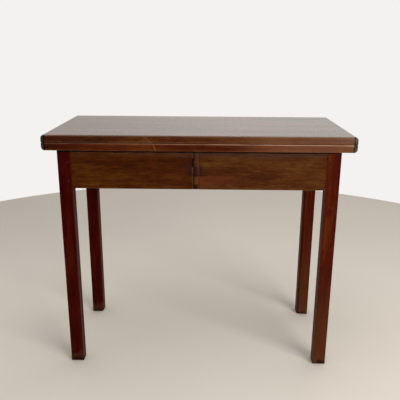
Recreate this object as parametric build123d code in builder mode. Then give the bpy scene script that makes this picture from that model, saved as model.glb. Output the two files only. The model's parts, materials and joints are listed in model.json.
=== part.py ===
from build123d import *
from math import radians, tan
import os

os.makedirs("parts", exist_ok=True)

# Fold-over tea table in solid mahogany. Two equal leaves lie on each other and are joined along
# the back edge by a link hinge let into each end. The right back leg hangs on a fly rail, which
# turns on a wooden knuckle joint and carries the upper leaf when it is folded out.
#
# All sizes are in millimetres. +Z is up and the origin is on the floor, under the centre of the
# folded top. The hinge edge and the fly rail are on the -Y side; +X is on the right from there.

# ---------------------------------------------------------------- driving dimensions
table_height = 725.0        # floor to the upper face of the folded top
top_width = 883.0           # each leaf, from end to end
top_depth = 410.0           # each leaf, from the hinge edge to the front edge
leaf_thickness = 22.0
leaf_gap = 0.4              # air between the folded leaves
edge_round = 10.0           # outer arris of the ends and the front edge
inner_ease = 1.2            # arris where the folded leaves meet
hinge_outer_ease = 2.0      # outer arris of the hinge edge
hinge_round = 4.0           # inner arris of the hinge edge, which rolls on the other leaf's
hinge_edge_square = 1.0     # height of the square edge past that arris, before the undercut
hinge_undercut = 0.8        # the edge is planed back by this, so the open joint closes on top
plan_corner_round = 3.0     # front corners seen from above

end_overhang = 40.0         # leaf past the legs at each end
front_overhang = 40.0
hinge_overhang = 10.0

leg_size = 39.0             # square section
leg_chamfer = 7.0           # on each leg's inner corner
leg_ease = 1.2              # on the other three corners
foot_ease = 1.0             # around the foot

rail_height = 112.0
rail_thickness = 22.0
rail_setback = 1.5          # rail face behind the leg face

tenon_thickness = 9.0
tenon_wall = 1.0                # wood left between tenons that cross in a leg
tenon_top_shoulder = 12.0
tenon_bottom_shoulder = 8.0
inner_tenon_thickness = 7.0     # barefaced tenon of the inner back rail
joint_gap = 0.15                # all round a tenon
mortise_end_gap = 0.8           # past the end of a tenon

peg_radius = 3.5
peg_past = 5.0                  # past the tenon that it pins
back_peg_past = 0.5             # past the second of the two tenons in the back left leg
peg_proud = 0.5
peg_from_shoulder = 10.0
peg_drops = (35.0, 90.0)        # below the top of the rail

knuckle_offset = -8.0           # knuckle axis, left or right of the table's middle
knuckle_pin_radius = 3.0
knuckle_pin_play = 0.05         # radial, in the turning fingers
knuckle_gap = 0.3               # round each barrel and between the fingers
finger_shares = (0.196, 0.420, 0.634, 0.875)    # cuts between the five fingers, from the top
fly_running_gap = 0.4           # fly rail to the inner back rail
fly_top_gap = 1.0               # fly rail and swing leg to the leaf above
swing_leg_gap = 0.5             # swing leg to the carcase corner above its rebate
kerf_reach = 32.0               # saw cut that runs past the knuckle, from its axis
kerf_width = 0.8
kerf_depth = 2.5

tail_count = 3                  # dovetails at the back right corner
tail_length = 16.0
tail_root = 15.0                # height of a tail where it leaves the rail
tail_tip = 21.0

hinge_block_width = 8.0         # knuckle block of a hinge plate, into the leaf's end
hinge_block_length = 14.0
hinge_length = 56.0
hinge_tail_thickness = 3.0
hinge_tail_width = 11.0
hinge_tail_inset = 1.2
hinge_pin_radius = 1.5
hinge_pin_play = 0.05           # radial, in the link's eyes
link_eye_radius = 3.2
link_thickness = 2.6
link_side_play = 0.1            # each side of the link in its slot
link_end_play = 0.3             # round the link's eyes in the slot
hinge_screw_radius = 1.75
hinge_screw_head = 3.5
hinge_screw_length = 20.0
hinge_screw_places = (25.0, 45.0)   # from the hinge edge

rail_screw_radius = 2.2
rail_screw_head = 4.4
rail_screw_length = 36.0
rail_screw_spacing_x = 200.0
rail_screw_spacing_z = 50.0

top_screw_radius = 2.0
top_screw_head = 4.0
top_screw_head_height = 2.5
top_screw_tilt = 15.0           # degrees from upright
top_screw_seat = 22.0           # seat below the top of the rail
top_screw_length = 37.0
top_screw_offset = 180.0        # from the table's middle, on the long rails
pocket_clearance = 0.6          # round the screw head
screw_slot_width = 0.9
screw_slot_depth = 0.9

glue_block_size = 18.0
glue_block_length = 60.0
glue_block_chamfer = 7.0
glue_block_gap = 70.0           # end of a block on a long rail to the side rail
side_block_gap = 25.0           # end of a block on a side rail to the long rail

# ---------------------------------------------------------------- derived places
end_x = top_width / 2
hinge_y = -top_depth / 2
front_y = top_depth / 2
upper_inner_z = table_height - leaf_thickness
fold_z = upper_inner_z - leaf_gap / 2
underside_z = table_height - 2 * leaf_thickness - leaf_gap
rail_bottom = underside_z - rail_height

side_x = end_x - end_overhang
back_y = hinge_y + hinge_overhang
frame_front_y = front_y - front_overhang
frame_mid_y = (back_y + frame_front_y) / 2
leg_inner_x = side_x - leg_size
front_leg_inner_y = frame_front_y - leg_size
back_leg_inner_y = back_y + leg_size

front_rail_y = (frame_front_y - rail_setback - rail_thickness, frame_front_y - rail_setback)
side_rail_x = (side_x - rail_setback - rail_thickness, side_x - rail_setback)
fixed_back_y = (back_y + rail_setback, back_y + rail_setback + rail_thickness)
inner_back_y = (fixed_back_y[1], fixed_back_y[1] + rail_thickness)
fly_rail_y = (fixed_back_y[0], fixed_back_y[1] - fly_running_gap)
rail_z = (rail_bottom, underside_z)
fly_z = (rail_bottom, underside_z - fly_top_gap)
tenon_z = (rail_bottom + tenon_bottom_shoulder, underside_z - tenon_top_shoulder)
tenon_far_face = rail_setback + rail_thickness / 2 + tenon_thickness / 2
tenon_length = leg_size - tenon_far_face - tenon_wall
end_peg_length = tenon_far_face
peg_length = tenon_far_face + peg_past
back_peg_length = rail_setback + rail_thickness + inner_tenon_thickness + back_peg_past

knuckle_y = (fly_rail_y[0] + fly_rail_y[1]) / 2
barrel_radius = (fly_rail_y[1] - fly_rail_y[0]) / 2
finger_cuts = [underside_z - share * rail_height for share in finger_shares]

pin_y = hinge_y + hinge_round
pin_z = upper_inner_z + hinge_round
link_x = end_x - hinge_block_width / 2

fold_plane = Plane.XY.offset(fold_z)


# ---------------------------------------------------------------- helpers
def block(x_range, y_range, z_range, mode=Mode.ADD):
    """Add a block between the given limits to the part that is being built, or cut it out."""
    middle = [(low + high) / 2 for low, high in (x_range, y_range, z_range)]
    lengths = [high - low for low, high in (x_range, y_range, z_range)]
    with Locations(tuple(middle)):
        Box(*lengths, mode=mode)


def cut_mortise(x_range, y_range, z_range, into):
    """Cut a tenon's mortise. into is the tenon's direction, such as (1, 0, 0)."""
    limits = []
    for (low, high), step in zip((x_range, y_range, z_range), into):
        low_gap = mortise_end_gap if step < 0 else joint_gap
        high_gap = mortise_end_gap if step > 0 else joint_gap
        limits.append((low - low_gap, high + high_gap))
    block(*limits, mode=Mode.SUBTRACT)


def signed(sign, limits):
    """The same limits on the side of the table that sign names."""
    return tuple(sorted((sign * limits[0], sign * limits[1])))


def middle_of(limits):
    return (limits[0] + limits[1]) / 2


def centred(middle, width):
    return (middle - width / 2, middle + width / 2)


def save(part, name):
    part.label = name
    export_step(part, f"parts/{name}.step")


# ---------------------------------------------------------------- leaves and their hinges
# The outline of the upper leaf; the lower leaf is its mirror image in the plane between them.
with BuildPart() as leaf_blank:
    with BuildSketch(Plane.YZ.offset(-end_x)):
        with BuildLine():
            FilletPolyline(
                (hinge_y, upper_inner_z),
                (front_y, upper_inner_z),
                (front_y, table_height),
                (hinge_y + hinge_undercut, table_height),
                (hinge_y, upper_inner_z + hinge_round + hinge_edge_square),
                radius=[hinge_round, inner_ease, edge_round, hinge_outer_ease, 0],
                close=True,
            )
        make_face()
    extrude(amount=top_width)
    with BuildSketch(Plane.XZ.offset(-front_y)):
        with BuildLine():
            FilletPolyline(
                (-end_x, upper_inner_z),
                (end_x, upper_inner_z),
                (end_x, table_height),
                (-end_x, table_height),
                radius=[inner_ease, inner_ease, edge_round, edge_round],
                close=True,
            )
        make_face()
    extrude(amount=top_depth, mode=Mode.INTERSECT)
    with BuildSketch(Plane.XY.offset(upper_inner_z)):
        with BuildLine():
            FilletPolyline(
                (-end_x, hinge_y),
                (end_x, hinge_y),
                (end_x, front_y),
                (-end_x, front_y),
                radius=[0, 0, plan_corner_round, plan_corner_round],
                close=True,
            )
        make_face()
    extrude(amount=leaf_thickness, mode=Mode.INTERSECT)

tail_z = (
    upper_inner_z + hinge_tail_inset,
    upper_inner_z + hinge_tail_inset + hinge_tail_width,
)
hinge_block_limits = (
    (end_x - hinge_block_width, end_x),
    (hinge_y, hinge_y + hinge_block_length),
    (upper_inner_z, table_height),
)
hinge_tail_limits = (
    (end_x - hinge_tail_thickness, end_x),
    (hinge_y + hinge_block_length, hinge_y + hinge_length),
    tail_z,
)
pin_plane = Plane(origin=(end_x, pin_y, pin_z), x_dir=(0, 1, 0), z_dir=(1, 0, 0))
hinge_screw_planes = [
    Plane(origin=(end_x, hinge_y + place, middle_of(tail_z)), x_dir=(0, 1, 0), z_dir=(1, 0, 0))
    for place in hinge_screw_places
]

# The plate is cut to the leaf's own outline, so it lies flush in the rounded end.
with BuildPart() as hinge_plate:
    block(*hinge_block_limits)
    block(*hinge_tail_limits)
    add(leaf_blank.part, mode=Mode.INTERSECT)
    block(
        centred(link_x, link_thickness + 2 * link_side_play),
        (hinge_y, pin_y + link_eye_radius + link_end_play),
        (upper_inner_z, pin_z + link_eye_radius + link_end_play),
        mode=Mode.SUBTRACT,
    )
    with Locations(pin_plane):
        Hole(hinge_pin_radius, depth=hinge_block_width)
    with Locations(hinge_screw_planes):
        CounterSinkHole(hinge_screw_radius, hinge_screw_head, hinge_tail_thickness, 90)

with BuildPart() as hinge_pin:
    with Locations(pin_plane):
        Cylinder(hinge_pin_radius, hinge_block_width, align=(Align.CENTER, Align.CENTER, Align.MAX))

with BuildPart() as hinge_screws:
    with Locations(hinge_screw_planes):
        Cylinder(
            hinge_screw_radius,
            hinge_screw_length,
            align=(Align.CENTER, Align.CENTER, Align.MAX),
        )
        Cone(
            hinge_screw_radius,
            hinge_screw_head,
            hinge_screw_head - hinge_screw_radius,
            align=(Align.CENTER, Align.CENTER, Align.MAX),
        )
        Box(
            2 * hinge_screw_head,
            screw_slot_width,
            screw_slot_depth,
            align=(Align.CENTER, Align.CENTER, Align.MAX),
            mode=Mode.SUBTRACT,
        )

with BuildPart() as hinge_link:
    with BuildSketch(Plane.YZ.offset(link_x - link_thickness / 2)):
        with Locations((pin_y, fold_z)):
            SlotCenterToCenter(2 * (pin_z - fold_z), 2 * link_eye_radius, rotation=90)
        with Locations((pin_y, pin_z), (pin_y, 2 * fold_z - pin_z)):
            Circle(hinge_pin_radius + hinge_pin_play, mode=Mode.SUBTRACT)
    extrude(amount=link_thickness)

with BuildPart() as upper_leaf:
    add(leaf_blank.part)
    for side in (-1, 1):
        for x_limits, y_limits, z_limits in (hinge_block_limits, hinge_tail_limits):
            block(signed(side, x_limits), y_limits, z_limits, mode=Mode.SUBTRACT)
        for plane in hinge_screw_planes:
            start = side * (end_x - hinge_screw_length / 2)
            with Locations(Location((start, plane.origin.Y, plane.origin.Z), (0, 90, 0))):
                Cylinder(hinge_screw_radius, hinge_screw_length, mode=Mode.SUBTRACT)

save(upper_leaf.part, "upper_leaf")

for piece, name in ((hinge_plate, "hinge_plate"), (hinge_pin, "hinge_pin")):
    with BuildPart() as mirrored_piece:
        mirror(piece.part, about=Plane.YZ)
    save(piece.part, f"upper_{name}_right")
    save(mirrored_piece.part, f"upper_{name}_left")
    for side_piece, side_name in ((piece, "right"), (mirrored_piece, "left")):
        with BuildPart() as lower_piece:
            mirror(side_piece.part, about=fold_plane)
        save(lower_piece.part, f"lower_{name}_{side_name}")

with BuildPart() as hinge_link_left:
    mirror(hinge_link.part, about=Plane.YZ)
save(hinge_link.part, "hinge_link_right")
save(hinge_link_left.part, "hinge_link_left")

with BuildPart() as upper_hinge_screws:
    add(hinge_screws.part)
    mirror(hinge_screws.part, about=Plane.YZ)
with BuildPart() as lower_hinge_screws:
    mirror(upper_hinge_screws.part, about=fold_plane)
save(upper_hinge_screws.part, "upper_hinge_screws")
save(lower_hinge_screws.part, "lower_hinge_screws")


# ---------------------------------------------------------------- screws up into the top
def pocket_plane(x, y, inward_x, inward_y):
    """Seat of a pocket screw that leaves the top of a rail at (x, y), tilted from the inside."""
    tilt = Vector(inward_x, inward_y, 0).normalized()
    slope = tan(radians(top_screw_tilt))
    seat = Vector(x, y, underside_z - top_screw_seat) + tilt * (top_screw_seat * slope)
    return Plane(origin=seat, z_dir=tilt * slope - Vector(0, 0, 1))


long_rail_spots = (-top_screw_offset, top_screw_offset)
front_screw_planes = [
    pocket_plane(x, middle_of(front_rail_y), 0, -1) for x in long_rail_spots
]
back_screw_planes = [
    pocket_plane(x, middle_of(inner_back_y), 0, 1) for x in long_rail_spots
]
side_screw_planes = {
    side: [pocket_plane(side * middle_of(side_rail_x), frame_mid_y, -side, 0)]
    for side in (-1, 1)
}
top_screw_planes = [
    *front_screw_planes,
    *back_screw_planes,
    *side_screw_planes[-1],
    *side_screw_planes[1],
]


def cut_pockets(planes):
    """Cut the screw holes and the slanted pockets below them into the rail being built."""
    with Locations(planes):
        Cylinder(
            top_screw_radius,
            top_screw_length,
            align=(Align.CENTER, Align.CENTER, Align.MAX),
            mode=Mode.SUBTRACT,
        )
        Cylinder(
            top_screw_head + pocket_clearance,
            rail_height,
            align=(Align.CENTER, Align.CENTER, Align.MIN),
            mode=Mode.SUBTRACT,
        )


with BuildPart() as top_screws:
    with Locations(top_screw_planes):
        Cylinder(
            top_screw_radius,
            top_screw_length,
            align=(Align.CENTER, Align.CENTER, Align.MAX),
        )
        Cylinder(
            top_screw_head,
            top_screw_head_height,
            align=(Align.CENTER, Align.CENTER, Align.MIN),
        )
    slot_planes = [plane.offset(top_screw_head_height) for plane in top_screw_planes]
    with Locations(slot_planes):
        Box(
            2 * top_screw_head,
            screw_slot_width,
            screw_slot_depth,
            align=(Align.CENTER, Align.CENTER, Align.MAX),
            mode=Mode.SUBTRACT,
        )
save(top_screws.part, "top_screws")

with BuildPart() as lower_leaf:
    mirror(upper_leaf.part, about=fold_plane)
    with Locations(top_screw_planes):
        Cylinder(
            top_screw_radius,
            top_screw_length,
            align=(Align.CENTER, Align.CENTER, Align.MAX),
            mode=Mode.SUBTRACT,
        )
save(lower_leaf.part, "lower_leaf")


# ---------------------------------------------------------------- tenons and pegs
def tenon_y(rail_y):
    return centred(middle_of(rail_y), tenon_thickness)


tenon_x = (leg_inner_x, leg_inner_x + tenon_length)
side_tenon_x = centred(middle_of(side_rail_x), tenon_thickness)
front_tenon = (tenon_x, tenon_y(front_rail_y), tenon_z)
side_front_tenon = (
    side_tenon_x,
    (front_leg_inner_y, front_leg_inner_y + tenon_length),
    tenon_z,
)
side_back_tenon = (
    side_tenon_x,
    (back_leg_inner_y - tenon_length, back_leg_inner_y),
    tenon_z,
)
outer_back_tenon = (tenon_x, tenon_y(fly_rail_y), tenon_z)
inner_back_tenon = (
    tenon_x,
    (inner_back_y[0], inner_back_y[0] + inner_tenon_thickness),
    tenon_z,
)

peg_heights = [underside_z - drop for drop in peg_drops]


def pegs_in_front(side, y_face, facing):
    """Peg planes on a leg's front or back face. facing is the way the face looks along Y."""
    x = side * (leg_inner_x + peg_from_shoulder)
    return [
        Plane(origin=(x, y_face + facing * peg_proud, z), z_dir=(0, facing, 0))
        for z in peg_heights
    ]


def pegs_at_end(side, y):
    """Peg planes on a leg's outer end face."""
    return [
        Plane(origin=(side * (side_x + peg_proud), y, z), z_dir=(side, 0, 0))
        for z in peg_heights
    ]


def drill_pegs(planes, length, mode=Mode.SUBTRACT):
    with Locations(planes):
        Cylinder(
            peg_radius,
            length + peg_proud,
            align=(Align.CENTER, Align.CENTER, Align.MAX),
            mode=mode,
        )


# ---------------------------------------------------------------- legs
def make_leg(name, side, outer_y, inner_y, top, mortises, pegs, rebates=()):
    """A square leg, chamfered on its inner corner. side is -1 on the left and 1 on the right."""
    outer_x = side * side_x
    inner_x = side * leg_inner_x
    outward = 1 if outer_y > inner_y else -1
    with BuildPart() as leg:
        with BuildSketch():
            with BuildLine():
                FilletPolyline(
                    (inner_x, inner_y + outward * leg_chamfer),
                    (inner_x, outer_y),
                    (outer_x, outer_y),
                    (outer_x, inner_y),
                    (inner_x + side * leg_chamfer, inner_y),
                    radius=[0, leg_ease, leg_ease, leg_ease, 0],
                    close=True,
                )
            make_face()
        extrude(amount=top)
        chamfer(leg.faces().sort_by(Axis.Z)[0].edges(), length=foot_ease)
        for (x_limits, y_limits, z_limits), into in mortises:
            cut_mortise(signed(side, x_limits), y_limits, z_limits, into)
        for planes, length in pegs:
            drill_pegs(planes, length)
        for limits in rebates:
            block(*limits, mode=Mode.SUBTRACT)
    save(leg.part, name)


for side, side_name in ((-1, "left"), (1, "right")):
    make_leg(
        f"front_leg_{side_name}",
        side,
        frame_front_y,
        front_leg_inner_y,
        underside_z,
        mortises=[(front_tenon, (side, 0, 0)), (side_front_tenon, (0, 1, 0))],
        pegs=[
            (pegs_in_front(side, frame_front_y, 1), peg_length),
            (pegs_at_end(side, front_leg_inner_y + peg_from_shoulder), end_peg_length),
        ],
    )

make_leg(
    "back_leg_left",
    -1,
    back_y,
    back_leg_inner_y,
    underside_z,
    mortises=[
        (outer_back_tenon, (-1, 0, 0)),
        (inner_back_tenon, (-1, 0, 0)),
        (side_back_tenon, (0, -1, 0)),
    ],
    pegs=[
        (pegs_in_front(-1, back_y, -1), back_peg_length),
        (pegs_at_end(-1, back_leg_inner_y - peg_from_shoulder), end_peg_length),
    ],
)

# At rail height the swing leg is only as thick as the fly rail, so it closes round the fixed
# corner of the carcase.
make_leg(
    "swing_leg",
    1,
    back_y,
    back_leg_inner_y,
    fly_z[1],
    mortises=[(outer_back_tenon, (1, 0, 0))],
    pegs=[(pegs_in_front(1, back_y, -1), peg_length)],
    rebates=[
        (
            (leg_inner_x, side_x),
            (fly_rail_y[1], back_leg_inner_y),
            (rail_bottom - swing_leg_gap, fly_z[1]),
        )
    ],
)


# ---------------------------------------------------------------- pegs
for side, side_name in ((-1, "left"), (1, "right")):
    with BuildPart() as front_leg_pegs:
        drill_pegs(pegs_in_front(side, frame_front_y, 1), peg_length, mode=Mode.ADD)
        drill_pegs(
            pegs_at_end(side, front_leg_inner_y + peg_from_shoulder),
            end_peg_length,
            mode=Mode.ADD,
        )
    save(front_leg_pegs.part, f"front_leg_pegs_{side_name}")

with BuildPart() as back_leg_pegs:
    drill_pegs(pegs_in_front(-1, back_y, -1), back_peg_length, mode=Mode.ADD)
    drill_pegs(
        pegs_at_end(-1, back_leg_inner_y - peg_from_shoulder),
        end_peg_length,
        mode=Mode.ADD,
    )
save(back_leg_pegs.part, "back_leg_pegs_left")

with BuildPart() as swing_leg_pegs:
    drill_pegs(pegs_in_front(1, back_y, -1), peg_length, mode=Mode.ADD)
save(swing_leg_pegs.part, "swing_leg_pegs")


# ---------------------------------------------------------------- front and side rails
with BuildPart() as front_rail:
    block((-leg_inner_x, leg_inner_x), front_rail_y, rail_z)
    for side in (-1, 1):
        block(signed(side, front_tenon[0]), front_tenon[1], front_tenon[2])
        drill_pegs(pegs_in_front(side, frame_front_y, 1), peg_length)
    cut_pockets(front_screw_planes)
save(front_rail.part, "front_rail")


def dovetails(mode):
    """The tails of the inner back rail, added to it or cut out of the side rail."""
    root_x = side_rail_x[0]
    tip_x = root_x + tail_length
    with BuildSketch(Plane.XZ.offset(-inner_back_y[1])) as tails:
        for index in range(tail_count):
            z = rail_bottom + rail_height * (index + 0.5) / tail_count
            with BuildLine():
                Polyline(
                    (root_x, z - tail_root / 2),
                    (tip_x, z - tail_tip / 2),
                    (tip_x, z + tail_tip / 2),
                    (root_x, z + tail_root / 2),
                    close=True,
                )
            make_face()
    extrude(tails.sketch, amount=inner_back_y[1] - inner_back_y[0], mode=mode)


with BuildPart() as side_rail_left:
    block(signed(-1, side_rail_x), (back_leg_inner_y, front_leg_inner_y), rail_z)
    for tenon in (side_front_tenon, side_back_tenon):
        block(signed(-1, tenon[0]), tenon[1], tenon[2])
    drill_pegs(pegs_at_end(-1, front_leg_inner_y + peg_from_shoulder), end_peg_length)
    drill_pegs(pegs_at_end(-1, back_leg_inner_y - peg_from_shoulder), end_peg_length)
    cut_pockets(side_screw_planes[-1])
save(side_rail_left.part, "side_rail_left")

with BuildPart() as side_rail_right:
    block(side_rail_x, (inner_back_y[0], front_leg_inner_y), rail_z)
    block(*side_front_tenon)
    drill_pegs(pegs_at_end(1, front_leg_inner_y + peg_from_shoulder), end_peg_length)
    cut_pockets(side_screw_planes[1])
    dovetails(Mode.SUBTRACT)
save(side_rail_right.part, "side_rail_right")


# ---------------------------------------------------------------- back rails and the knuckle
finger_edges = [underside_z, *finger_cuts, rail_bottom]
fingers = [(low, high) for high, low in zip(finger_edges, finger_edges[1:])]
fixed_fingers = fingers[0::2]
fly_fingers = fingers[1::2]


def with_clearance(finger, gap):
    """A finger's limits moved out by gap at each cut, or in where gap is negative."""
    low, high = finger
    new_low = low if low == rail_bottom else low - gap
    new_high = high if high == underside_z else high + gap
    return (new_low, new_high)


def hinged_rail(direction, far_x, y_range, z_range):
    """A rail that ends at the knuckle in shoulders mitred to the axis, so it can turn."""
    shoulder_x = knuckle_offset + direction * barrel_radius
    with BuildSketch(Plane.XY.offset(z_range[0])) as outline:
        with BuildLine():
            Polyline(
                (far_x, y_range[0]),
                (shoulder_x, y_range[0]),
                (knuckle_offset, knuckle_y),
                (shoulder_x, y_range[1]),
                (far_x, y_range[1]),
                close=True,
            )
        make_face()
    extrude(outline.sketch, amount=z_range[1] - z_range[0])


def cut_knuckle(own_fingers, mating_fingers, pin_radius):
    """Hollow the rail for the other rail's fingers, then add its own and drill for the pin."""
    for finger in mating_fingers:
        low, high = with_clearance(finger, knuckle_gap / 2)
        with Locations((knuckle_offset, knuckle_y, (low + high) / 2)):
            Cylinder(barrel_radius + knuckle_gap, high - low, mode=Mode.SUBTRACT)
    for finger in own_fingers:
        low, high = with_clearance(finger, -knuckle_gap / 2)
        with Locations((knuckle_offset, knuckle_y, (low + high) / 2)):
            Cylinder(barrel_radius, high - low)
    with Locations((knuckle_offset, knuckle_y, middle_of(rail_z))):
        Cylinder(pin_radius, rail_height, mode=Mode.SUBTRACT)


rail_screw_planes = [
    Plane(
        origin=(middle_of((-leg_inner_x, knuckle_offset)) + x, inner_back_y[1], middle_of(rail_z) + z),
        z_dir=(0, 1, 0),
    )
    for x in (-rail_screw_spacing_x / 2, rail_screw_spacing_x / 2)
    for z in (-rail_screw_spacing_z / 2, rail_screw_spacing_z / 2)
]

with BuildPart() as inner_back_rail:
    block((-leg_inner_x, side_rail_x[0]), inner_back_y, rail_z)
    block(signed(-1, inner_back_tenon[0]), inner_back_tenon[1], inner_back_tenon[2])
    drill_pegs(pegs_in_front(-1, back_y, -1), back_peg_length)
    dovetails(Mode.ADD)
    cut_pockets(back_screw_planes)
    with Locations(rail_screw_planes):
        CounterSinkHole(rail_screw_radius, rail_screw_head, rail_screw_length, 90)
save(inner_back_rail.part, "inner_back_rail")

with BuildPart() as fixed_back_rail:
    hinged_rail(-1, -leg_inner_x, fixed_back_y, rail_z)
    cut_knuckle(fixed_fingers, fly_fingers, knuckle_pin_radius)
    block(signed(-1, outer_back_tenon[0]), outer_back_tenon[1], outer_back_tenon[2])
    drill_pegs(pegs_in_front(-1, back_y, -1), back_peg_length)
    with Locations(rail_screw_planes):
        CounterSinkHole(rail_screw_radius, rail_screw_head, rail_screw_length, 90)
save(fixed_back_rail.part, "fixed_back_rail")

with BuildPart() as fly_rail:
    hinged_rail(1, leg_inner_x, fly_rail_y, fly_z)
    cut_knuckle(fly_fingers, fixed_fingers, knuckle_pin_radius + knuckle_pin_play)
    block(*outer_back_tenon)
    drill_pegs(pegs_in_front(1, back_y, -1), peg_length)
    block(
        (knuckle_offset, knuckle_offset + kerf_reach),
        (fly_rail_y[0], fly_rail_y[0] + kerf_depth),
        centred(finger_cuts[2], kerf_width),
        mode=Mode.SUBTRACT,
    )
save(fly_rail.part, "fly_rail")

with BuildPart() as knuckle_pin:
    with Locations((knuckle_offset, knuckle_y, middle_of(fly_z))):
        Cylinder(knuckle_pin_radius, fly_z[1] - fly_z[0])
save(knuckle_pin.part, "knuckle_pin")

with BuildPart() as back_rail_screws:
    with Locations(rail_screw_planes):
        Cylinder(
            rail_screw_radius,
            rail_screw_length,
            align=(Align.CENTER, Align.CENTER, Align.MAX),
        )
        Cone(
            rail_screw_radius,
            rail_screw_head,
            rail_screw_head - rail_screw_radius,
            align=(Align.CENTER, Align.CENTER, Align.MAX),
        )
        Box(
            2 * rail_screw_head,
            screw_slot_width,
            screw_slot_depth,
            align=(Align.CENTER, Align.CENTER, Align.MAX),
            mode=Mode.SUBTRACT,
        )
save(back_rail_screws.part, "back_rail_screws")


# ---------------------------------------------------------------- glue blocks
block_z = (underside_z - glue_block_size, underside_z)
inner_x = side_rail_x[0] - glue_block_gap
long_rail_blocks = ((-inner_x, -inner_x + glue_block_length), (inner_x - glue_block_length, inner_x))
side_rail_blocks = (
    (inner_back_y[1] + side_block_gap, inner_back_y[1] + side_block_gap + glue_block_length),
    (front_rail_y[0] - side_block_gap - glue_block_length, front_rail_y[0] - side_block_gap),
)

for name, y_range, free_edge in (
    ("front_glue_blocks", (front_rail_y[0] - glue_block_size, front_rail_y[0]), 0),
    ("back_glue_blocks", (inner_back_y[1], inner_back_y[1] + glue_block_size), -1),
):
    with BuildPart() as glue_blocks:
        for x_range in long_rail_blocks:
            block(x_range, y_range, block_z)
        lower_edges = glue_blocks.edges().filter_by(Axis.X).group_by(Axis.Z)[0]
        chamfer(lower_edges.group_by(Axis.Y)[free_edge], length=glue_block_chamfer)
    save(glue_blocks.part, name)

for side, side_name, free_edge in ((-1, "left", -1), (1, "right", 0)):
    x_range = signed(side, (side_rail_x[0] - glue_block_size, side_rail_x[0]))
    with BuildPart() as glue_blocks:
        for y_range in side_rail_blocks:
            block(x_range, y_range, block_z)
        lower_edges = glue_blocks.edges().filter_by(Axis.Y).group_by(Axis.Z)[0]
        chamfer(lower_edges.group_by(Axis.X)[free_edge], length=glue_block_chamfer)
    save(glue_blocks.part, f"side_glue_blocks_{side_name}")
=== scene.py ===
"""Looks of the fold-over tea table: faded polished leaves, dark red legs, dry oxidised back
rails, pale softwood inside and dull hinge metal, in soft light from the right.

Lengths are in metres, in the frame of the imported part: +Z is up, the hinge edge is on -Y.
Colours are linear red, green and blue. "Left" and "right" are as seen from -Y.
"""
import json
import math

import bpy
from mathutils import Matrix, Vector


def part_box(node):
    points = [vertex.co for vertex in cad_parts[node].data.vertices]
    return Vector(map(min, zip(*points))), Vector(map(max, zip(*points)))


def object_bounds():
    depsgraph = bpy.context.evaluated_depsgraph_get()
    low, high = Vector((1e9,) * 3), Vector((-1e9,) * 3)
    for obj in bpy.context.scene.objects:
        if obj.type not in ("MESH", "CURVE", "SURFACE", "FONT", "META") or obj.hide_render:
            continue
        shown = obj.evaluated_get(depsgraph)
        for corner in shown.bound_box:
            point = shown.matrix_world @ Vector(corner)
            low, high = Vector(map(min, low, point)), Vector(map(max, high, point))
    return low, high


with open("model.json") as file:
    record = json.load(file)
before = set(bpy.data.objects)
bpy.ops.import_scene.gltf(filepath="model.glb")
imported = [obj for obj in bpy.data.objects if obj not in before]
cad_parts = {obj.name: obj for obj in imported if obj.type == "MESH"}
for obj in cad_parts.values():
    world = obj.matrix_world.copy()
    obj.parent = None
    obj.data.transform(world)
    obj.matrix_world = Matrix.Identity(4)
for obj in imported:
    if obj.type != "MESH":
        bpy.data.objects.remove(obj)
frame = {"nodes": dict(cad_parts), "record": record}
cad_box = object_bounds()

AXES = "XYZ"
ORIGIN = (0.0, 0.0, 0.0)


# ---------------------------------------------------------------- building with nodes
def even(scale):
    """A pattern's scale, the same in every direction."""
    return (scale, scale, scale)


def along(axis, on_grain, across):
    """Scales for a pattern that runs along the grain."""
    return tuple(on_grain if letter == axis else across for letter in AXES)


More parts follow.
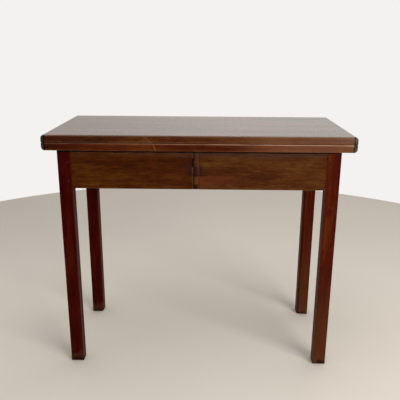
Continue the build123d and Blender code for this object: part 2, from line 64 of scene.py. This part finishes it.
class Graph:
    """A material's or the world's nodes. Each method adds nodes and gives back an output."""

    def __init__(self, owner, coordinates):
        owner.use_nodes = True
        self.owner = owner
        self.tree = owner.node_tree
        self.place = self.add("TexCoord").outputs[coordinates]

    def add(self, kind, **settings):
        """A node of the kind, with plain values on its inputs."""
        node = self.tree.nodes.new("ShaderNode" + kind)
        for name, value in settings.items():
            node.inputs[name.replace("_", " ")].default_value = value
        return node

    def plug(self, value, socket):
        """Links an output to the socket, or sets the socket to a plain value."""
        if isinstance(value, bpy.types.NodeSocket):
            self.tree.links.new(value, socket)
        else:
            socket.default_value = value

    def math(self, operation, *values):
        node = self.add("Math")
        node.operation = operation
        for socket, value in zip(node.inputs, values):
            self.plug(value, socket)
        return node.outputs[0]

    def coordinate(self, letter):
        """The X, Y or Z of the place."""
        node = self.add("SeparateXYZ")
        self.plug(self.place, node.inputs[0])
        return node.outputs[letter]

    def move(self, scale, offset, turn):
        """The place, scaled, turned and moved."""
        node = self.add("Mapping", Scale=scale, Location=offset, Rotation=turn)
        self.plug(self.place, node.inputs["Vector"])
        return node.outputs[0]

    def noise(self, scale, offset=ORIGIN, turn=ORIGIN, detail=4.0, roughness=0.5, distortion=0.0):
        node = self.add("TexNoise", Scale=1.0, Detail=detail, Roughness=roughness, Distortion=distortion)
        self.plug(self.move(scale, offset, turn), node.inputs["Vector"])
        return node.outputs[0]

    def rings(self, axis, pith):
        """Growth rings round a pith that runs along the axis."""
        node = self.add("TexWave", Scale=24.0, Distortion=3.4, Detail=3.0, Detail_Scale=1.1)
        node.wave_type = "RINGS"
        node.rings_direction = axis
        self.plug(self.move(along(axis, 0.25, 1.0), pith, ORIGIN), node.inputs["Vector"])
        return node.outputs["Fac"]

    def fade(self, value, low, high, start=0.0, end=1.0):
        """Eases from start to end while the value goes from low to high."""
        node = self.add("MapRange")
        node.interpolation_type = "SMOOTHSTEP"
        for socket, setting in zip(node.inputs, (value, low, high, start, end)):
            self.plug(setting, socket)
        return node.outputs[0]

    def band(self, value, low, high, soft):
        """1 between low and high, easing to 0 over soft on each side."""
        rise = self.fade(value, low - soft, low + soft)
        fall = self.fade(value, high - soft, high + soft, 1.0, 0.0)
        return self.both(rise, fall)

    def both(self, first, *others):
        """The product of masks: 1 where all of them are."""
        product = first
        for mask in others:
            product = self.math("MULTIPLY", product, mask)
        return product

    def ramp(self, value, colours):
        """A colour ramp with the colours evenly spaced."""
        node = self.add("ValToRGB")
        self.plug(value, node.inputs[0])
        stops = node.color_ramp.elements
        while len(stops) < len(colours):
            stops.new(1.0)
        for index, colour in enumerate(colours):
            stops[index].position = index / (len(colours) - 1)
            stops[index].color = (*colour, 1.0)
        return node.outputs[0]

    def mix(self, amount, first, second):
        """A colour between first, at 0, and second, at 1."""
        node = self.add("Mix")
        node.data_type = "RGBA"
        self.plug(amount, node.inputs["Factor"])
        for socket, value in zip((node.inputs[6], node.inputs[7]), (first, second)):
            self.plug((*value, 1.0) if isinstance(value, tuple) else value, socket)
        return node.outputs[2]

    def bump(self, height, depth, under=None):
        """Relief of that depth, over an earlier relief if there is one."""
        node = self.add("Bump", Distance=depth)
        self.plug(height, node.inputs["Height"])
        if under is not None:
            self.plug(under, node.inputs["Normal"])
        return node.outputs[0]

    def shade(self, colour, roughness, normal, **settings):
        """Plugs everything into the shader and gives back the finished material."""
        shader = self.tree.nodes["Principled BSDF"]
        self.plug(colour, shader.inputs["Base Color"])
        self.plug(roughness, shader.inputs["Roughness"])
        self.plug(normal, shader.inputs["Normal"])
        for name, value in settings.items():
            shader.inputs[name.replace("_", " ")].default_value = value
        return self.owner


def new_material(name):
    return Graph(bpy.data.materials.new(name), "Object")


def middle(node):
    low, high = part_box(node)
    return (low + high) / 2


# ---------------------------------------------------------------- timber
POLISHED = dict(broad=1.1, streak=0.5, mottle=0.6, rings=0.1, pores=0.4, rub=0.35,
                rubbed=(0.130, 0.050, 0.018), scratch=0.12, rough=0.19, rough_swing=0.10,
                pore_depth=0.00001, hand_planing=0.00010)
LEG = dict(broad=0.9, streak=0.5, mottle=0.4, rings=0.1, pores=0.4, rub=0.3,
           rubbed=(0.090, 0.016, 0.005), scratch=0.3, rough=0.34, rough_swing=0.14,
           pore_depth=0.00015, hand_planing=0.0008)
DRY = dict(broad=0.8, streak=0.5, mottle=0.65, rings=0.0, pores=0.5, rub=0.4,
           rubbed=(0.100, 0.042, 0.014), scratch=0.35, rough=0.50, rough_swing=0.15,
           pore_depth=0.0003, hand_planing=0.0014)
SAWN = dict(broad=0.9, streak=1.0, mottle=0.4, rings=0.3, pores=0.25, rub=0.3,
            rubbed=(0.34, 0.21, 0.11), scratch=0.2, rough=0.72, rough_swing=0.12,
            pore_depth=0.0003, hand_planing=0.0012)
PORE_SHADE = 0.42            # how dark an open pore is, as a share of the darkest tone
PORE_ROUGHNESS = 0.12
SCRATCH_ROUGHNESS = 0.2
SCRATCH_DEPTH = 0.00008


class Timber(Graph):
    """A node's solid timber, with its grain along the axis and the marks painted on so far.

    tones are the dark, middle and light colours. finish holds what differs between the
    polished, the dry and the sawn pieces. seed moves the figure, so that no two are alike.
    """

    def __init__(self, kind, node, axis, tones, seed, finish):
        super().__init__(bpy.data.materials.new(kind + "_" + node), "Object")
        self.axis = axis
        self.finish = finish
        self.offset = (seed * 1.37, seed * 2.11, seed * 0.73)
        self.broad = self.grain(3.0, 16.0, roughness=0.55, distortion=0.6)
        self.tone = self.figure(pith=0.31 + 0.05 * seed)
        self.pores = self.fade(self.grain(42.0, 780.0, detail=2.0), 0.56, 0.68)
        lengthwise = self.scratches(along(axis, 3.0, 9.0), (0.3, 0.2, 0.5))
        slanting = self.scratches((7.0, 4.0, 6.0), (0.9, 0.1, -0.6))
        self.scratched = self.math("MAXIMUM", lengthwise, slanting)
        self.colour = self.ramp(self.tone, tones)
        self.paint(self.pores, tuple(value * PORE_SHADE for value in tones[0]), finish["pores"])
        self.paint(self.rubbed_arrises(node), finish["rubbed"], finish["rub"])
        self.paint(self.scratched, finish["rubbed"], finish["scratch"])

    def paint(self, mask, colour, strength=1.0):
        """Lays the colour over what is there, where the mask is 1."""
        self.colour = self.mix(self.math("MULTIPLY", mask, strength), self.colour, colour)

    def grain(self, on_grain, across, **settings):
        """Noise drawn out along the grain."""
        return self.noise(along(self.axis, on_grain, across), self.offset, **settings)

    def figure(self, pith):
        """0 in the darkest figure of the wood, 1 in the lightest."""
        pith_place = along(self.axis, 0.0, pith)
        patterns = {
            "broad": self.broad,
            "streak": self.grain(9.0, 130.0, detail=5.0, roughness=0.6, distortion=0.4),
            "mottle": self.grain(30.0, 120.0, roughness=0.65, distortion=0.5),
            "rings": self.rings(self.axis, pith_place),
        }
        tone = 0.0
        for name, pattern in patterns.items():
            tone = self.math("MULTIPLY_ADD", pattern, self.finish[name], tone)
        total = sum(self.finish[name] for name in patterns)
        darkest, lightest = 0.29, 0.71
        return self.fade(tone, darkest * total, lightest * total)

    def scratches(self, scale, turn):
        """Thin wandering lines, broken up, from the level lines of a smooth noise."""
        level = self.noise(scale, self.offset, turn, detail=1.0)
        mid_level, width = 0.5, 0.004
        off_line = self.math("ABSOLUTE", self.math("SUBTRACT", level, mid_level))
        thin = self.fade(off_line, 0.0, width, 1.0, 0.0)
        breaks = self.noise(even(9.0), self.offset, detail=2.0)
        return self.both(thin, self.fade(breaks, 0.52, 0.66))

    def edge_distance(self, node):
        """Distance to the nearest arris of the node's box."""
        low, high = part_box(node)
        half = (high - low) / 2
        to_face = []
        for letter, centre, reach in zip(AXES, middle(node), half):
            offset = self.math("ABSOLUTE", self.math("SUBTRACT", self.coordinate(letter), centre))
            to_face.append(self.math("SUBTRACT", reach, offset))
        first, second, third = to_face
        nearer = self.math("MINIMUM", first, second)
        further = self.math("MAXIMUM", first, second)
        return self.math("MAXIMUM", nearer, self.math("MINIMUM", further, third))

    def rubbed_arrises(self, node):
        """1 on the arrises and raggedly round them, where handling has worn the finish."""
        least, raggedness = -0.0032, 0.012
        wear = self.noise(even(38.0), self.offset, roughness=0.6)
        reach = self.math("MULTIPLY_ADD", wear, raggedness, least)
        within_reach = self.math("SUBTRACT", reach, self.edge_distance(node))
        return self.fade(within_reach, -0.0012, 0.0018)

    def roughness(self):
        finish = self.finish
        rough = self.math("MULTIPLY_ADD", self.broad, finish["rough_swing"], finish["rough"])
        rough = self.math("MULTIPLY_ADD", self.scratched, finish["scratch"] * SCRATCH_ROUGHNESS, rough)
        return self.math("MULTIPLY_ADD", self.pores, PORE_ROUGHNESS, rough)

    def relief(self):
        """Open pores, marks of hand planing and scratches."""
        relief = self.bump(self.math("SUBTRACT", 1.0, self.pores), self.finish["pore_depth"])
        plane_marks = self.grain(9.0, 26.0, detail=2.0)
        relief = self.bump(plane_marks, self.finish["hand_planing"], relief)
        return self.bump(self.math("SUBTRACT", 1.0, self.scratched), SCRATCH_DEPTH, relief)

    def material(self, gloss):
        """The finished material. gloss is the shader's specular level."""
        return self.shade(self.colour, self.roughness(), self.relief(), Specular_IOR_Level=gloss)


# ---------------------------------------------------------------- colours
UPPER_LEAF_TONES = ((0.020, 0.0030, 0.0004), (0.060, 0.0125, 0.0012), (0.120, 0.0400, 0.0060))
LOWER_LEAF_TONES = ((0.022, 0.0024, 0.0003), (0.061, 0.0092, 0.0008), (0.122, 0.0310, 0.0040))
FADED_TONES = ((0.105, 0.0580, 0.0340), (0.155, 0.0910, 0.0575), (0.205, 0.1320, 0.0860))
DARK_RED_TONES = ((0.016, 0.0003, 0.0002), (0.034, 0.0008, 0.0003), (0.062, 0.0050, 0.0010))
WARM_RED_TONES = ((0.026, 0.0010, 0.0002), (0.055, 0.0045, 0.0006), (0.100, 0.0180, 0.0026))
FIXED_RAIL_TONES = ((0.024, 0.0036, 0.0003), (0.054, 0.0108, 0.0006), (0.100, 0.0330, 0.0035))
FLY_RAIL_TONES = ((0.032, 0.0060, 0.0008), (0.064, 0.0165, 0.0026), (0.112, 0.0420, 0.0085))
PINE_TONES = ((0.130, 0.0600, 0.0220), (0.230, 0.1250, 0.0520), (0.320, 0.1950, 0.0900))
PEG_TONES = ((0.016, 0.003, 0.0025), (0.048, 0.009, 0.006), (0.080, 0.026, 0.018))
BRASS_TONES = ((0.010, 0.008, 0.006), (0.060, 0.048, 0.036), (0.190, 0.155, 0.115))
RUST_TONES = ((0.006, 0.005, 0.005), (0.022, 0.017, 0.014), (0.060, 0.034, 0.022))
FLOOR_TONES = ((0.68, 0.620, 0.550), (0.74, 0.685, 0.615))

DULL_STREAK = (0.095, 0.0720, 0.0480)
RED_STREAK = (0.225, 0.1150, 0.0850)
# Colour of the painted light on the right end of the leaves' back edges.
RIGHT_END_LIGHT = (0.390, 0.1900, 0.1000)
KICKED_BROWN = (0.140, 0.0650, 0.0220)
SCUFFED = (0.075, 0.0300, 0.0140)

# Dark colour for real dirt in seams, cuts and at the feet, and for painted shade below the lower leaf and
# in a gap at the knuckle.
DIRT_AND_SHADE = (0.0060, 0.0025, 0.0015)
# Colour of the painted highlight on the lower leaf's hinge arris.
ARRIS_HIGHLIGHT = (0.480, 0.2900, 0.1900)
PALE_SCAR = (0.210, 0.1050, 0.0580)
PALE_MITRE = (0.150, 0.0800, 0.0620)
STAIN = (0.026, 0.0065, 0.0060)
GREY_BLOOM = (0.058, 0.0300, 0.0220)
REDDER_FINGER = (0.105, 0.0230, 0.0080)
SHADED_GROOVE = (0.050, 0.0150, 0.0040)
LIT_GROOVE = (0.135, 0.0540, 0.0170)
PEG_CLOUD = (0.030, 0.0050, 0.0030)
BRASS_GRIT = (0.018, 0.0130, 0.0100)
IRON_PIT = (0.010, 0.0080, 0.0070)
SURROUND = (1.0, 0.985, 0.965)


# ---------------------------------------------------------------- marks on the leaves
def on_back_edge(timber, start, end):
    """1 on the leaves' hinge edge, easing to 0 from start to end in from it."""
    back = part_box("upper_leaf")[0].y
    return timber.fade(timber.coordinate("Y"), back + start, back + end, 1.0, 0.0)


def fade_upper_face(timber):
    """Daylight has bleached the face that is on top when the table is folded."""
    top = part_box("upper_leaf")[1].z
    faded = timber.ramp(timber.tone, FADED_TONES)
    dull = timber.noise((1.5, 30.0, 30.0), (4.1, 0.7, 0.0), detail=3.0, roughness=0.6, distortion=0.6)
    faded = timber.mix(timber.fade(dull, 0.38, 0.62, 0.0, 0.75), faded, DULL_STREAK)
    flush = timber.noise((2.2, 17.0, 17.0), (1.3, 2.9, 0.0), detail=2.0, distortion=0.4)
    faded = timber.mix(timber.fade(flush, 0.42, 0.66, 0.0, 0.6), faded, RED_STREAK)
    timber.paint(timber.fade(timber.coordinate("Z"), top - 0.0045, top - 0.0005), faded)


def paint_light_on_right_end(timber, start, end, strength):
    """Painted light: the back edges are paler towards the right end, where the light from the right falls
    on them most strongly.
    """
    towards_end = timber.fade(timber.coordinate("X"), start, end)
    # painted light on the right end of the back edges
    timber.paint(timber.both(towards_end, on_back_edge(timber, 0.003, 0.006)), RIGHT_END_LIGHT, strength)


def hinge_seam(graph):
    """1 in the dirty seam between each hinge's metal and the leaf's wood, on both of them."""
    side = graph.math("ABSOLUTE", graph.coordinate("X"))
    plate_inner_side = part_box("upper_hinge_plate_right")[0].x
    link_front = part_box("hinge_link_right")[1].y
    on_wood, on_metal = 0.0026, 0.0010
    seam = graph.band(side, plate_inner_side - on_wood, plate_inner_side + on_metal, 0.0005)
    near_back = graph.fade(graph.coordinate("Y"), link_front + 0.001, link_front + 0.003, 1.0, 0.0)
    return graph.both(seam, near_back)


def old_scar(timber):
    """A pale filled crack that curves down across the back edges of both leaves."""
    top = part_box("upper_leaf")[1].z
    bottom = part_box("lower_leaf")[0].z
    start_x, sweep, half_width = -0.160, 0.039, 0.0009
    down = timber.math("DIVIDE", timber.math("SUBTRACT", top, timber.coordinate("Z")), top - bottom)
    curve = timber.math("MULTIPLY", down, timber.math("SUBTRACT", 2.0, down))
    line = timber.math("MULTIPLY_ADD", curve, sweep, start_x)
    off_line = timber.math("ABSOLUTE", timber.math("SUBTRACT", timber.coordinate("X"), line))
    crack = timber.fade(off_line, half_width * 0.4, half_width * 1.4, 1.0, 0.0)
    filling = timber.fade(timber.noise(even(150.0), detail=2.0), 0.25, 0.5, 0.45, 0.9)
    timber.paint(timber.both(crack, on_back_edge(timber, 0.002, 0.006), filling), PALE_SCAR)


def paint_arris_highlight(timber):
    """Painted highlight: a pale line along the lower leaf's upper hinge arris, where light catches the
    rounded arris, most on the right.
    """
    low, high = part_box("lower_leaf")
    line = timber.band(timber.coordinate("Z"), high.z - 0.0026, high.z - 0.0006, 0.0005)
    more_right = timber.fade(timber.coordinate("X"), low.x, high.x, 0.12, 0.85)
    patchy = timber.fade(timber.noise((14.0, 60.0, 60.0), detail=3.0), 0.3, 0.6, 0.4, 1.0)
    # painted highlight along the hinge arris
    timber.paint(timber.both(line, on_back_edge(timber, 0.004, 0.007), more_right, patchy), ARRIS_HIGHLIGHT)


# ---------------------------------------------------------------- marks on the frame
def paint_shade_under_leaf(timber):
    """Painted shade: a dark ragged line on the frame just below the lower leaf, where its overhang shades
    the rails and legs.
    """
    least, raggedness, soft = 0.0034, 0.0050, 0.0012
    ragged = timber.noise((45.0, 45.0, 90.0), detail=3.0)
    depth = timber.math("MULTIPLY_ADD", ragged, raggedness, least)
    below = timber.math("SUBTRACT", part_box("lower_leaf")[0].z, timber.coordinate("Z"))
    corner = timber.fade(timber.math("SUBTRACT", below, depth), -soft, soft, 1.0, 0.0)
    # painted shade just below the lower leaf
    timber.paint(corner, DIRT_AND_SHADE, 0.95)


def scuffed_foot(timber):
    """The lowest few centimetres of a leg are kicked pale and grimy at the floor."""
    raggedness = 0.075
    ragged = timber.noise((70.0, 70.0, 45.0), roughness=0.65)
    height = timber.math("SUBTRACT", timber.coordinate("Z"), timber.math("MULTIPLY", ragged, raggedness))
    timber.paint(timber.fade(height, -0.016, 0.002, 1.0, 0.0), SCUFFED, 0.35)
    timber.paint(timber.fade(height, -0.034, -0.026, 1.0, 0.0), DIRT_AND_SHADE, 0.75)


def browned_foot(timber):
    """The red stain has worn brown over the lower half of the right-hand legs."""
    raggedness = 0.10
    ragged = timber.noise((25.0, 25.0, 9.0), detail=3.0)
    height = timber.math("MULTIPLY_ADD", ragged, raggedness, timber.coordinate("Z"))
    timber.paint(timber.fade(height, 0.06, 0.46, 1.0, 0.0), KICKED_BROWN, 0.24)


def bloom_along_top(timber):
    """A greyer strip along the upper part of the back rails, where the polish has bloomed."""
    least, raggedness, soft = 0.010, 0.014, 0.003
    ragged = timber.noise((12.0, 40.0, 40.0), detail=3.0)
    reach = timber.math("MULTIPLY_ADD", ragged, raggedness, least)
    below = timber.math("SUBTRACT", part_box("fixed_back_rail")[1].z, timber.coordinate("Z"))
    strip = timber.fade(timber.math("SUBTRACT", below, reach), -soft, soft, 1.0, 0.0)
    amount = timber.fade(timber.coordinate("X"), -0.30, 0.05, 0.10, 0.42)
    timber.paint(timber.both(strip, amount), GREY_BLOOM)


# ---------------------------------------------------------------- marks at the wooden knuckle
# Where the cuts between the five fingers are, as shares of the rail's height from its top.
FINGER_SHARES = (0.196, 0.420, 0.634, 0.875)


class Knuckle:
    """Where the knuckle of the back rails is, and masks on a rail's timber measured from it."""

    def __init__(self, timber):
        low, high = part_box("fixed_back_rail")
        rail_back, rail_front = (corner.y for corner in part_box("fly_rail"))
        self.top = high.z
        self.bottom = low.z
        self.cuts = [high.z - share * (high.z - low.z) for share in FINGER_SHARES]
        self.radius = (rail_front - rail_back) / 2
        self.timber = timber
        self.height = timber.coordinate("Z")
        self.from_axis = timber.math("SUBTRACT", timber.coordinate("X"), middle("knuckle_pin").x)

    def between(self, low, high, soft):
        """1 between two heights."""
        return self.timber.band(self.height, low, high, soft)

    def beside(self, left, right, soft):
        """1 between two distances to the right of the axis."""
        return self.timber.band(self.from_axis, left, right, soft)


def stain_middle_finger(timber, knuckle):
    """A dark ragged stain on the middle finger, and a softer round one spread over it."""
    upper_cut, lower_cut = knuckle.cuts[1:3]
    cloud_left, cloud_up, flattening, raggedness = 0.007, 0.006, 0.75, 0.012
    ragged = timber.noise(even(60.0), detail=3.0)
    wander = timber.math("MULTIPLY_ADD", ragged, raggedness, -raggedness / 2)
    out = timber.math("MULTIPLY", timber.math("ADD", knuckle.from_axis, cloud_left), flattening)
    up = timber.math("SUBTRACT", knuckle.height, (upper_cut + lower_cut) / 2 + cloud_up)
    square = timber.math("ADD", timber.math("MULTIPLY", out, out), timber.math("MULTIPLY", up, up))
    away = timber.math("ADD", timber.math("SQRT", square), wander)
    timber.paint(timber.fade(away, 0.012, 0.034, 1.0, 0.0), STAIN, 0.5)
    ragged_side = timber.band(timber.math("ADD", knuckle.from_axis, wander), -0.021, 0.019, 0.003)
    timber.paint(timber.both(knuckle.between(lower_cut, upper_cut, 0.0015), ragged_side), STAIN, 0.8)


def stain_fingers(timber, knuckle):
    """Polish, oil and damp have coloured the fingers one by one. The fourth is redder, and so is
    the rail to the right of it; the middle one is stained; the first is grey, the last dark."""
    top_cut, upper_cut, lower_cut, bottom_cut = knuckle.cuts
    radius = knuckle.radius
    to_the_right = timber.both(timber.fade(knuckle.from_axis, 0.000, 0.004),
                               timber.fade(knuckle.from_axis, 0.05, 0.16, 1.0, 0.0))
    fourth = timber.both(knuckle.between(bottom_cut, lower_cut, 0.002), to_the_right)
    timber.paint(fourth, REDDER_FINGER, 0.5)
    stain_middle_finger(timber, knuckle)
    first = timber.both(knuckle.between(top_cut, knuckle.top, 0.0015),
                        knuckle.beside(-radius, radius, 0.001))
    timber.paint(first, GREY_BLOOM, 0.45)
    last = timber.both(knuckle.between(knuckle.bottom, bottom_cut, 0.001),
                       knuckle.beside(-radius, radius * 1.1, 0.001))
    timber.paint(last, STAIN, 0.5)


def mark_grooves(timber, knuckle):
    """The hollows beside the barrel: painted highlight in the right hollow and painted shade in the
    left one, which also has a pale broken line down the mitre, and painted shade in the gap at the second
    finger."""
    top_cut, upper_cut = knuckle.cuts[:2]
    radius = knuckle.radius
    hollows = timber.band(timber.math("ABSOLUTE", knuckle.from_axis), radius * 0.60, radius * 0.98, 0.0010)
    # painted highlight in the right hollow and painted shade in the left one
    turned_to_light = timber.fade(knuckle.from_axis, -0.001, 0.001)
    timber.paint(hollows, timber.mix(turned_to_light, SHADED_GROOVE, LIT_GROOVE), 0.8)
    mitre = knuckle.beside(0.0001 - radius, 0.0013 - radius, 0.0004)
    broken = timber.fade(timber.noise((1.0, 1.0, 70.0), detail=2.0), 0.40, 0.60, 0.1, 0.6)
    timber.paint(timber.both(mitre, broken), PALE_MITRE)
    # painted shade in the gap at the second finger
    shaded_gap = timber.both(knuckle.between(upper_cut, top_cut, 0.0006),
                      knuckle.beside(-radius - 0.0004, -radius * 0.62, 0.0005))
    timber.paint(shaded_gap, DIRT_AND_SHADE)


def mark_cuts(timber, knuckle):
    """Dirt in the third saw cut, and the layout lines scribed on from the other three."""
    top_cut, upper_cut, lower_cut, bottom_cut = knuckle.cuts
    radius = knuckle.radius
    kerf = timber.both(knuckle.between(lower_cut - 0.0013, lower_cut + 0.0009, 0.0004),
                       knuckle.beside(-radius, 0.032, 0.002))
    timber.paint(kerf, DIRT_AND_SHADE, 0.75)
    half_width = 0.0006
    scribed_lines = ((top_cut, 0.090, 0.45), (upper_cut, 0.083, 0.35), (bottom_cut, 0.083, 0.40))
    for cut, reach, strength in scribed_lines:
        scribed = timber.both(knuckle.between(cut - half_width, cut + half_width, 0.0004),
                              knuckle.beside(radius, reach, 0.003))
        timber.paint(scribed, DIRT_AND_SHADE, strength)


# ---------------------------------------------------------------- finishes
BACK_RAILS = ("fly_rail", "fixed_back_rail")
WARM_NODES = ("swing_leg", "front_leg_right", "front_rail")


def upper_leaf_finish(seed):
    timber = Timber("mahogany", "upper_leaf", "X", UPPER_LEAF_TONES, seed, POLISHED)
    fade_upper_face(timber)
    # painted light on the right end of the back edge
    paint_light_on_right_end(timber, start=-0.05, end=0.30, strength=0.14)
    timber.paint(hinge_seam(timber), DIRT_AND_SHADE)
    old_scar(timber)
    return timber.material(gloss=0.25)


def lower_leaf_finish(seed):
    timber = Timber("mahogany", "lower_leaf", "X", LOWER_LEAF_TONES, seed, POLISHED)
    # painted light on the right end of the back edge
    paint_light_on_right_end(timber, start=0.06, end=0.27, strength=0.19)
    # painted highlight on the lower leaf's hinge arris
    paint_arris_highlight(timber)
    timber.paint(hinge_seam(timber), DIRT_AND_SHADE)
    old_scar(timber)
    return timber.material(gloss=0.14)


def red_finish(node, axis, seed):
    """Legs and red rails. The pieces whose grain stands upright are the legs, which have feet."""
    tones = WARM_RED_TONES if node in WARM_NODES else DARK_RED_TONES
    timber = Timber("mahogany", node, axis, tones, seed, LEG)
    # painted shade just below the lower leaf
    paint_shade_under_leaf(timber)
    if axis == "Z":
        if node in WARM_NODES:
            browned_foot(timber)
        scuffed_foot(timber)
    return timber.material(gloss=0.03)


def back_rail_finish(node, seed):
    tones = FLY_RAIL_TONES if node == "fly_rail" else FIXED_RAIL_TONES
    timber = Timber("oxidised", node, "X", tones, seed, DRY)
    knuckle = Knuckle(timber)
    bloom_along_top(timber)
    stain_fingers(timber, knuckle)
    mark_grooves(timber, knuckle)
    mark_cuts(timber, knuckle)
    # painted shade just below the lower leaf
    paint_shade_under_leaf(timber)
    return timber.material(gloss=0.04)


def pine_finish(node, axis, seed):
    return Timber("pine", node, axis, PINE_TONES, seed, SAWN).material(gloss=0.15)


def peg_finish():
    graph = new_material("oak_peg")
    flecks = graph.noise(even(900.0), detail=3.0, roughness=0.6)
    cloud = graph.noise(even(120.0), detail=2.0)
    colour = graph.mix(graph.math("MULTIPLY", cloud, 0.5), graph.ramp(flecks, PEG_TONES), PEG_CLOUD)
    rough = graph.math("MULTIPLY_ADD", flecks, 0.2, 0.42)
    return graph.shade(colour, rough, graph.bump(flecks, 0.0003), Specular_IOR_Level=0.05)


def brass_finish():
    """Old brass, browned over and gritty, with dirt in the seam beside the wood."""
    graph = new_material("hinge_brass")
    patina = graph.noise(even(150.0), detail=5.0, roughness=0.65, distortion=0.6)
    grit = graph.noise(even(1400.0), detail=3.0, roughness=0.6)
    colour = graph.mix(graph.fade(grit, 0.60, 0.75, 0.0, 0.6), graph.ramp(patina, BRASS_TONES), BRASS_GRIT)
    colour = graph.mix(hinge_seam(graph), colour, DIRT_AND_SHADE)
    rough = graph.math("MULTIPLY_ADD", patina, 0.3, 0.34)
    relief = graph.bump(grit, 0.0002, graph.bump(patina, 0.0006))
    return graph.shade(colour, rough, relief, Metallic=0.75)


def iron_finish():
    graph = new_material("iron")
    rust = graph.noise(even(260.0), detail=5.0, roughness=0.65, distortion=0.4)
    pits = graph.noise(even(1700.0), detail=3.0, roughness=0.6)
    colour = graph.mix(graph.fade(pits, 0.58, 0.72, 0.0, 0.7), graph.ramp(rust, RUST_TONES), IRON_PIT)
    rough = graph.math("MULTIPLY_ADD", rust, 0.35, 0.35)
    relief = graph.bump(pits, 0.0003, graph.bump(rust, 0.0006))
    return graph.shade(colour, rough, relief, Metallic=0.7)


# ---------------------------------------------------------------- which node gets which finish
def grain_direction(node):
    """The grain runs along a piece's longest side, and in glue blocks along their rail."""
    if node.endswith("blocks"):
        return "Y" if node.startswith("side") else "X"
    low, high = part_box(node)
    size = high - low
    return AXES[max(range(3), key=lambda index: size[index])]


def finish_for(node, slot, seed, shared):
    if node == "upper_leaf":
        return upper_leaf_finish(seed)
    if node == "lower_leaf":
        return lower_leaf_finish(seed)
    if slot == "mahogany_frame":
        return red_finish(node, grain_direction(node), seed)
    if node in BACK_RAILS:
        return back_rail_finish(node, seed)
    if slot == "pine":
        return pine_finish(node, grain_direction(node), seed)
    return shared[slot]


def dress_nodes():
    slots = {part["node"]: part["material_slot"] for part in frame["record"]["subparts"]}
    shared = {"oak_peg": peg_finish(), "hinge_brass": brass_finish(), "iron": iron_finish()}
    for seed, node in enumerate(sorted(frame["nodes"]), start=1):
        mesh = frame["nodes"][node].data
        mesh.materials.clear()
        mesh.materials.append(finish_for(node, slots[node], seed, shared))


# ---------------------------------------------------------------- studio
FLOOR_RADIUS = 2.0
FLOOR_GAP = 0.0004           # the floor lies this far below the feet
SENSOR_WIDTH_MM = 36.0


def add_floor():
    bpy.ops.mesh.primitive_circle_add(vertices=192, radius=FLOOR_RADIUS, fill_type="NGON")
    floor = bpy.context.object
    floor.name = "floor"
    floor.location.z = cad_box[0].z - FLOOR_GAP
    graph = new_material("pale_floor")
    cloud = graph.noise(even(1.5), detail=3.0)
    relief = graph.bump(cloud, 0.001)
    material = graph.shade(graph.ramp(cloud, FLOOR_TONES), 0.9, relief, Specular_IOR_Level=0.1)
    floor.data.materials.append(material)


def add_world(seen, wall, wall_left, room, below):
    """A pale surround. What it casts is bright from the wall side, +Y, less so to its left, dim
    from the room side and dimmer still from below the floor; the eye sees one even tone."""
    world = bpy.data.worlds.new("pale_surround")
    bpy.context.scene.world = world
    graph = Graph(world, "Generated")
    lit_wall = graph.fade(graph.coordinate("X"), -0.30, 0.08, wall_left, wall)
    level = graph.fade(graph.coordinate("Y"), -0.3, 0.6, room, lit_wall)
    cast = graph.fade(graph.coordinate("Z"), -0.08, 0.0, below, level)
    camera_ray = graph.add("LightPath").outputs["Is Camera Ray"]
    background = graph.tree.nodes["Background"]
    background.inputs["Color"].default_value = (*SURROUND, 1.0)
    graph.plug(graph.fade(camera_ray, 0.0, 1.0, cast, seen), background.inputs["Strength"])


def add_area_light(name, place, target, size, power, colour):
    data = bpy.data.lights.new(name, "AREA")
    data.shape = "RECTANGLE"
    data.size, data.size_y = size
    data.energy = power
    data.color = colour
    light = bpy.data.objects.new(name, data)
    bpy.context.scene.collection.objects.link(light)
    light.location = place
    aim = Vector(target) - Vector(place)
    light.rotation_euler = aim.to_track_quat("-Z", "Y").to_euler()


def camera_axes(yaw, pitch, roll):
    """The camera's turn. Angles are in degrees: yaw is to the right of +Y, pitch downwards."""
    turn, tilt, bank = (math.radians(angle) for angle in (yaw, pitch, roll))
    level = math.cos(tilt)
    forward = Vector((math.sin(turn) * level, math.cos(turn) * level, -math.sin(tilt)))
    right = Vector((math.cos(turn), -math.sin(turn), 0.0))
    up = right.cross(forward)
    banked_right = right * math.cos(bank) + up * math.sin(bank)
    banked_up = up * math.cos(bank) - right * math.sin(bank)
    return Matrix((banked_right, banked_up, -forward)).transposed()


def add_camera(place, yaw, pitch, roll, lens):
    data = bpy.data.cameras.new("camera")
    data.sensor_width = SENSOR_WIDTH_MM
    data.lens = lens
    camera = bpy.data.objects.new("camera", data)
    bpy.context.scene.collection.objects.link(camera)
    camera.matrix_world = Matrix.Translation(place) @ camera_axes(yaw, pitch, roll).to_4x4()
    bpy.context.scene.camera = camera


def add_studio():
    add_floor()
    add_world(seen=0.90, wall=1.06, wall_left=0.80, room=0.20, below=0.10)
    add_area_light("window", place=(2.0, -2.45, 1.3), target=(0.1, -0.2, 0.5), size=(1.9, 1.7),
                   power=96.0, colour=(1.0, 0.97, 0.93))
    add_area_light("room", place=(-0.2, -0.5, 2.6), target=(0.0, 0.0, 0.7), size=(2.4, 1.8),
                   power=18.0, colour=(0.97, 0.98, 1.0))
    add_camera(place=(0.0300, -1.6575, 0.9754), yaw=-1.0, pitch=16.67, roll=0.3, lens=47.61)
    bpy.context.scene.view_settings.view_transform = "Standard"


dress_nodes()
add_studio()
